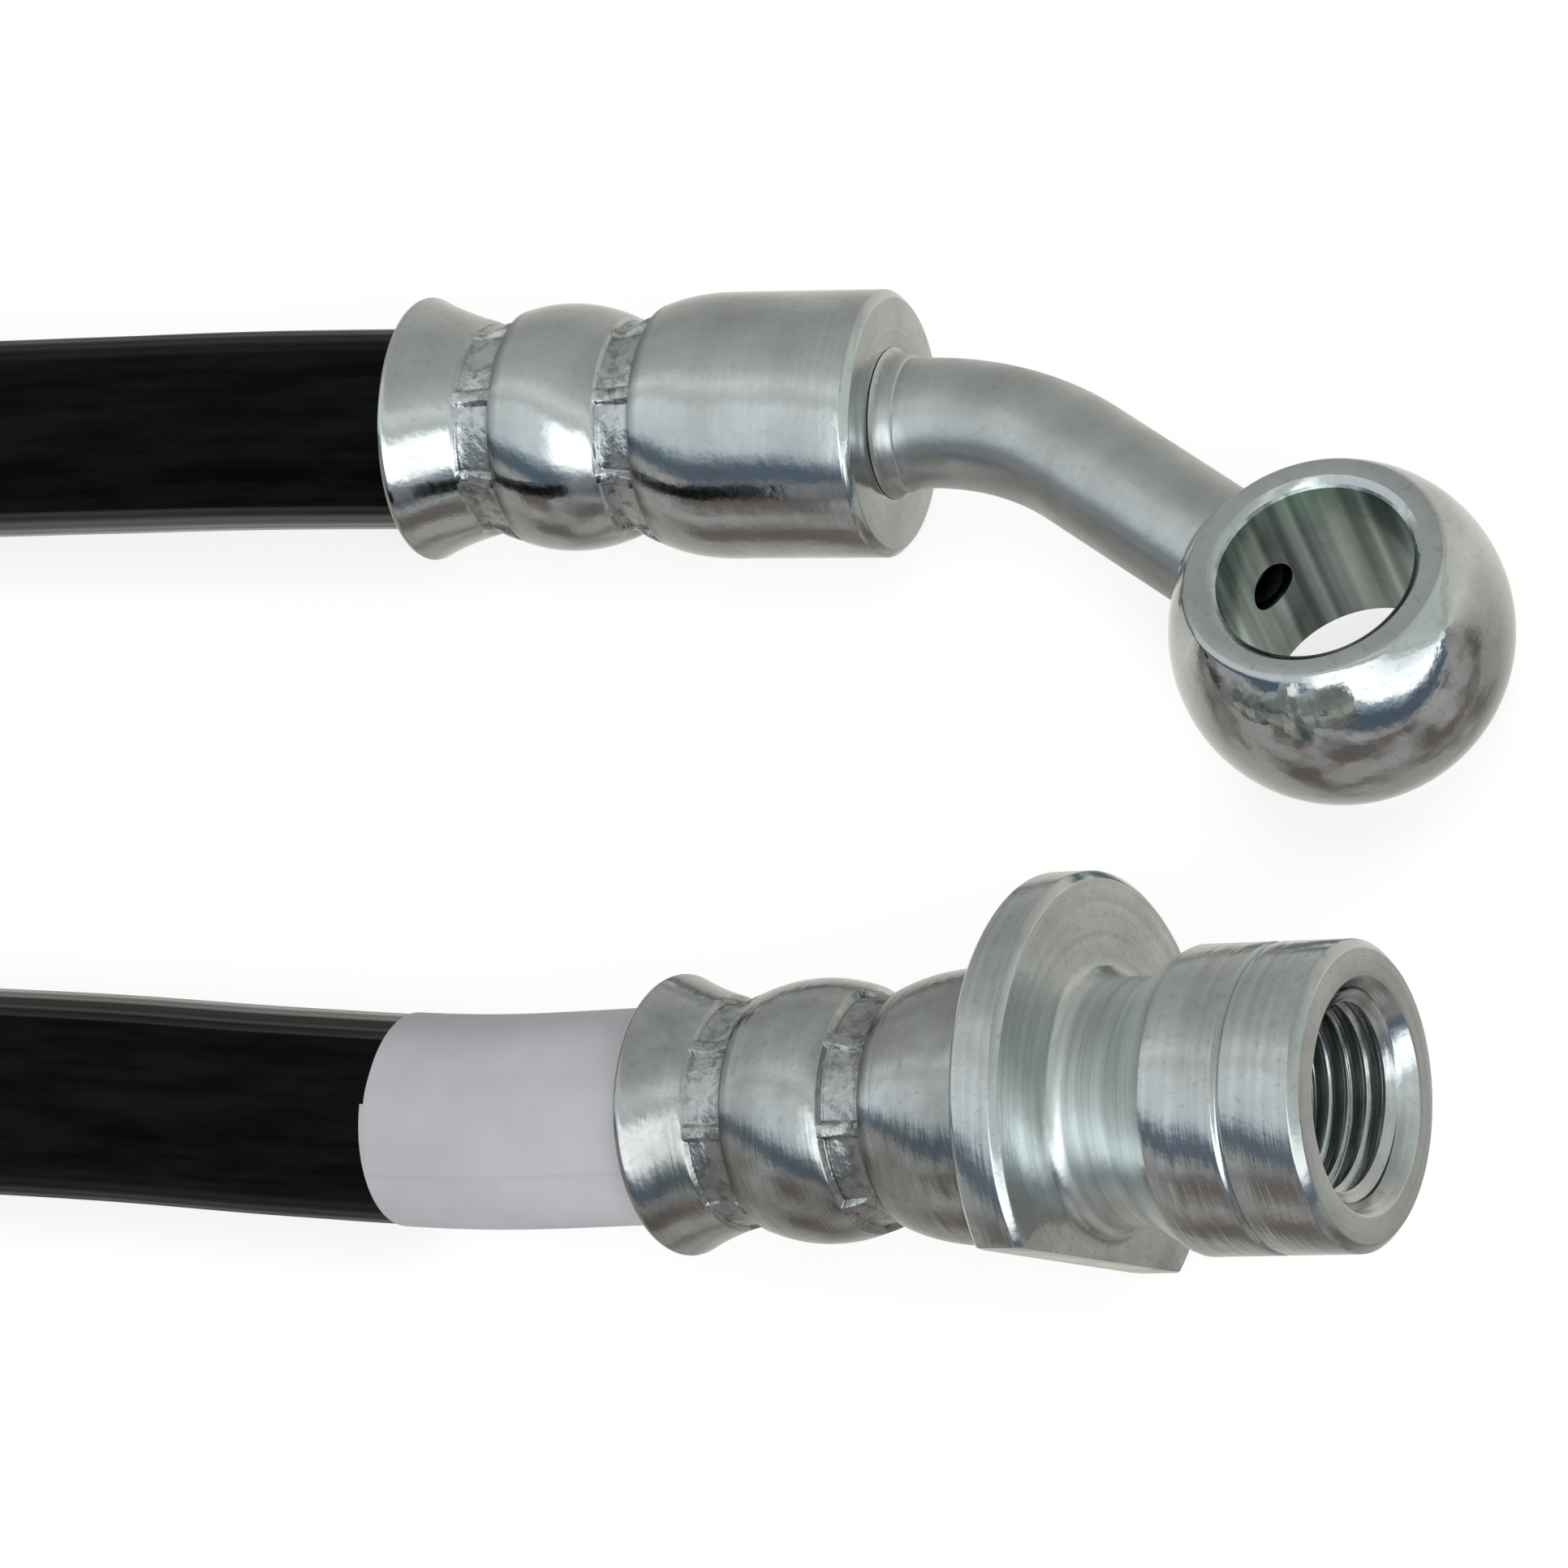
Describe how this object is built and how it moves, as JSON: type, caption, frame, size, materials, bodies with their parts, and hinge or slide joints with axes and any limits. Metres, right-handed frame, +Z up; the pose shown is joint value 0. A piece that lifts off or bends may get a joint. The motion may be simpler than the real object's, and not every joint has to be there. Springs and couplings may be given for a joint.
{
  "type": "brake hose",
  "caption": "Hydraulic brake hose with crimped steel ends: a bent pipe with a banjo eye on one, and a flanged fitting with a threaded port on the other.",
  "frame": {"origin": "middle of the footprint of the two end fittings, on the surface that the hose lies on", "axes": "+X along the banjo end, from the rubber towards the fittings; +Z up, away from the surface; +Y from the female end towards the banjo end"},
  "size_m": [0.2115, 0.0976, 0.0223],
  "materials": {
    "hose_rubber": "black ribbed rubber, slightly shiny",
    "inner_rubber": "plain black rubber",
    "braid": "braided yarn, undyed",
    "label_film": "matt light grey film, bare",
    "zinc_steel": "bright zinc plate, satin",
    "insert_steel": "plain drawn steel"
  },
  "bodies": {
    "root": {"hose_cover": "hose_rubber", "outer_braid": "braid", "middle_rubber": "inner_rubber", "inner_braid": "braid", "hose_liner": "inner_rubber", "label_wrap": "label_film", "banjo_socket": "zinc_steel", "banjo_insert": "insert_steel", "neck_pipe": "zinc_steel", "banjo_eye": "zinc_steel", "female_fitting": "zinc_steel", "female_insert": "insert_steel"}
  },
  "joints": []
}
